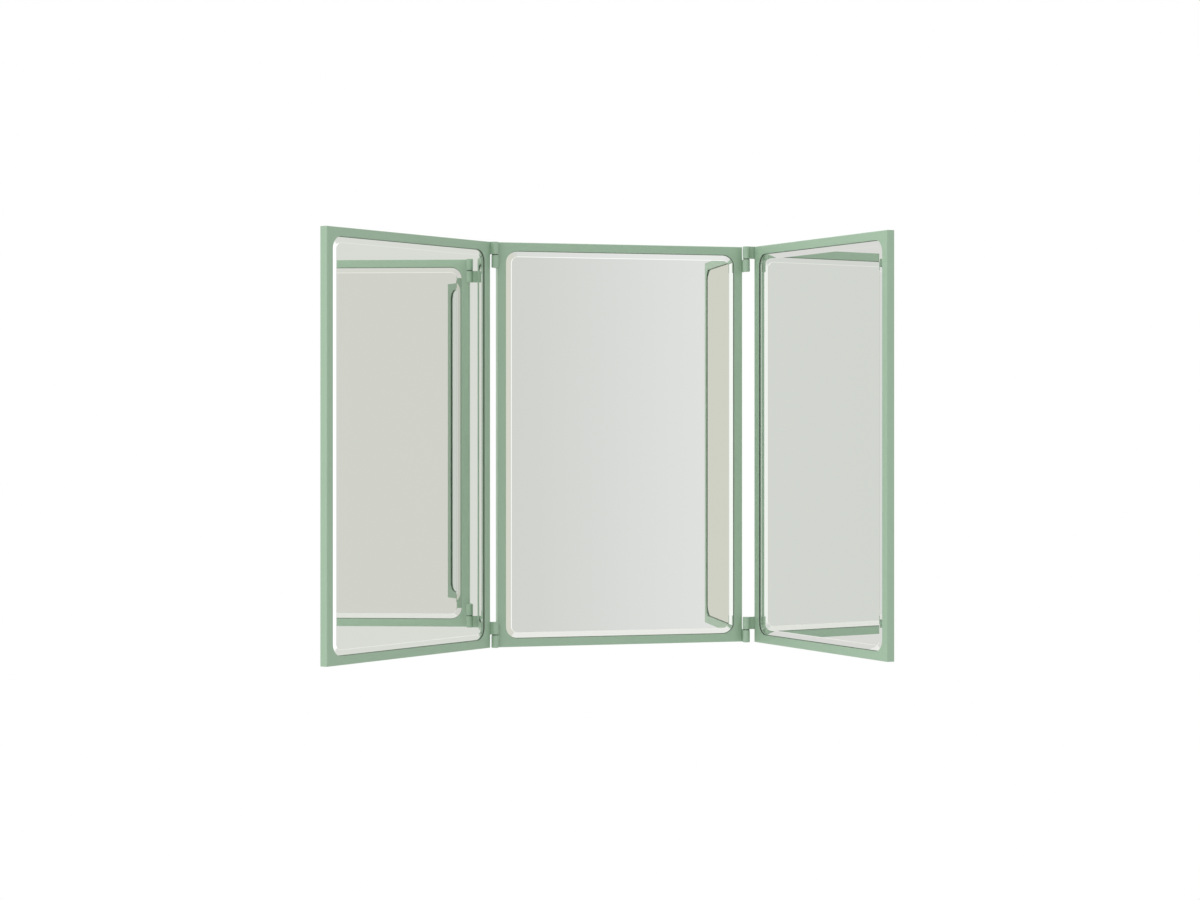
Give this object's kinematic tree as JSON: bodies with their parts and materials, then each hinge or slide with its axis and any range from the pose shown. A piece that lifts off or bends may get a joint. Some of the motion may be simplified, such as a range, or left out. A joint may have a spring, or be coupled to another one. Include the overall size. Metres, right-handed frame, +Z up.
{
  "type": "folding wall mirror",
  "caption": "Wall mirror in three bevelled panels with sage green steel frames; the side panels swing on barrel hinges.",
  "frame": {"origin": "midway between the entries of the two hanging keyholes, on the back plane of the middle panel", "axes": "+X along the width to the viewer's right, +Y into the wall, +Z up"},
  "size_m": [0.6503, 0.3324, 0.5],
  "materials": {
    "frame_finish": "sage green powder coat, satin, fine orange peel",
    "hinge_finish": "sage green powder coat, satin, turned barrels",
    "mirror": "silvered float glass, polished bevel",
    "hardboard": "brown hardboard, smooth side out",
    "foam_tape": "white closed-cell foam tape",
    "plate_zinc": "zinc plated sheet steel",
    "screw_zinc": "zinc plated screws",
    "boss_steel": "sage green powder coat",
    "pin_steel": "bright turned steel",
    "washer_nylon": "black nylon",
    "pad_rubber": "matt black rubber"
  },
  "bodies": {
    "centre": {"centre_frame": "frame_finish", "centre_corner_bosses": "boss_steel", "centre_mirror_glass": "mirror", "centre_foam_strips": "foam_tape", "centre_backing_board": "hardboard", "centre_corner_screws": "screw_zinc", "left_hanger_plate": "plate_zinc", "left_corner_plate": "plate_zinc", "right_hanger_plate": "plate_zinc", "right_corner_plate": "plate_zinc", "wall_pads": "pad_rubber", "top_left_fixed_knuckle": "hinge_finish", "top_left_pin": "pin_steel", "top_left_washer": "washer_nylon", "bottom_left_fixed_knuckle": "hinge_finish", "bottom_left_pin": "pin_steel", "bottom_left_washer": "washer_nylon", "top_right_fixed_knuckle": "hinge_finish", "top_right_pin": "pin_steel", "top_right_washer": "washer_nylon", "bottom_right_fixed_knuckle": "hinge_finish", "bottom_right_pin": "pin_steel", "bottom_right_washer": "washer_nylon"},
    "left_wing": {"left_frame": "frame_finish", "left_corner_bosses": "boss_steel", "left_mirror_glass": "mirror", "left_foam_strips": "foam_tape", "left_backing_board": "hardboard", "left_corner_screws": "screw_zinc", "top_left_wing_knuckle": "hinge_finish", "bottom_left_wing_knuckle": "hinge_finish"},
    "right_wing": {"right_frame": "frame_finish", "right_corner_bosses": "boss_steel", "right_mirror_glass": "mirror", "right_foam_strips": "foam_tape", "right_backing_board": "hardboard", "right_corner_screws": "screw_zinc", "top_right_wing_knuckle": "hinge_finish", "bottom_right_wing_knuckle": "hinge_finish"}
  },
  "joints": [
    {"name": "left_wing_hinge", "type": "hinge", "parent": "centre", "child": "left_wing", "pos_m": [-0.1645, -0.0139, -0.216], "axis": [0, 0, 1], "range_deg": [-39.5, 140.5]},
    {"name": "right_wing_hinge", "type": "hinge", "parent": "centre", "child": "right_wing", "pos_m": [0.1616, -0.0205, -0.216], "axis": [0, 0, -1], "range_deg": [-81, 99]}
  ]
}
